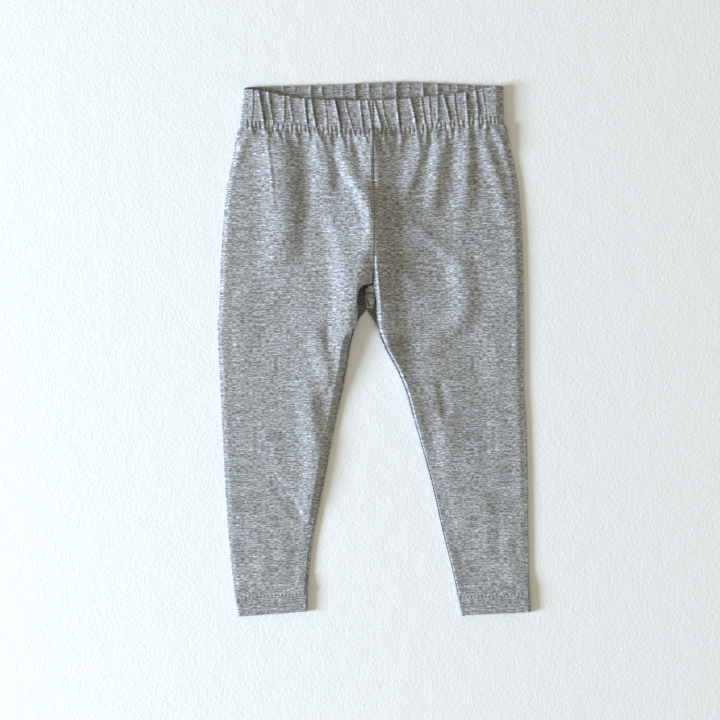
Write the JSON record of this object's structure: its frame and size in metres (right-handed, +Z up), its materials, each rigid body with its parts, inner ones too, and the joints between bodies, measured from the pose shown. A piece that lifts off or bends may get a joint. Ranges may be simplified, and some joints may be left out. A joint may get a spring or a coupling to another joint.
{
  "type": "child's leggings",
  "caption": "Child's heather grey jersey leggings laid flat, front up, with a gathered elastic waist casing, a centre front seam and narrow turned hems.",
  "frame": {"origin": "on the surface that the leggings lie on, under the middle of their outline", "axes": "+X towards the wearer's left leg, +Y from the hems towards the waist, +Z up, away from the surface"},
  "size_m": [0.2498, 0.4272, 0.0088],
  "materials": {
    "leg_jersey": "fine brushed jersey in a heather of light and mid grey, matt",
    "casing_jersey": "the same heather jersey, doubled over elastic and gathered, matt",
    "hem_jersey": "the same heather jersey, turned up and coverstitched, matt"
  },
  "bodies": {
    "root": {"leg_right": "leg_jersey", "leg_left": "leg_jersey", "casing_right": "casing_jersey", "casing_left": "casing_jersey", "hem_right": "hem_jersey", "hem_left": "hem_jersey"}
  },
  "joints": []
}
